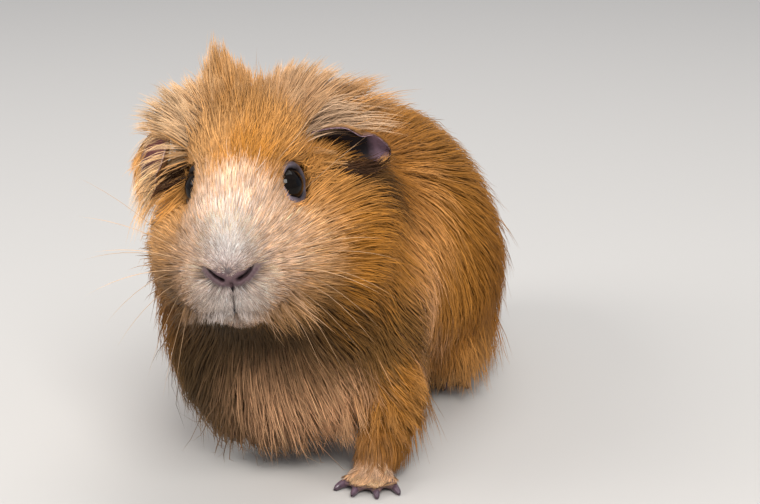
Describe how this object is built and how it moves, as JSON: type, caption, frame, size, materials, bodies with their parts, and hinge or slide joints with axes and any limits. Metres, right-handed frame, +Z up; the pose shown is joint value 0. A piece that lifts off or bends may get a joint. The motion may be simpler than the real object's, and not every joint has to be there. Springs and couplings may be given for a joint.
{
  "type": "guinea pig",
  "caption": "Standing guinea pig, life-size still model: ginger coat with a pale blaze and muzzle, tufted crest, small dark eyes, drooping ears, head turned a little to its left.",
  "frame": {"origin": "on the ground, under the middle of the model's box", "axes": "+Z up, -Y the way the body faces, +X the animal's left"},
  "size_m": [0.107, 0.2332, 0.1377],
  "materials": {
    "coat": "long, soft ginger hair",
    "face_coat": "short hair, cream on the muzzle and blaze, ginger on the cheeks",
    "ear_skin": "thin, bare, dark purplish skin",
    "foot_skin": "skin under short pale hair",
    "eye": "wet and glossy, nearly black",
    "claw": "dark horn with a dull gloss"
  },
  "bodies": {
    "root": {"chest": "coat", "claw_fore_left_1": "claw", "claw_fore_left_2": "claw", "claw_fore_left_3": "claw", "claw_fore_left_4": "claw", "claw_fore_right_1": "claw", "claw_fore_right_2": "claw", "claw_fore_right_3": "claw", "claw_fore_right_4": "claw", "claw_hind_left_1": "claw", "claw_hind_left_2": "claw", "claw_hind_left_3": "claw", "claw_hind_right_1": "claw", "claw_hind_right_2": "claw", "claw_hind_right_3": "claw", "crest": "coat", "ear_left": "ear_skin", "ear_right": "ear_skin", "eye_left": "eye", "eye_right": "eye", "forefoot_left": "foot_skin", "forefoot_right": "foot_skin", "foreleg_left": "coat", "foreleg_right": "coat", "head": "face_coat", "hindfoot_left": "foot_skin", "hindfoot_right": "foot_skin", "hindleg_left": "coat", "hindleg_right": "coat", "neck": "coat", "rump": "coat", "trunk": "coat"}
  },
  "joints": []
}
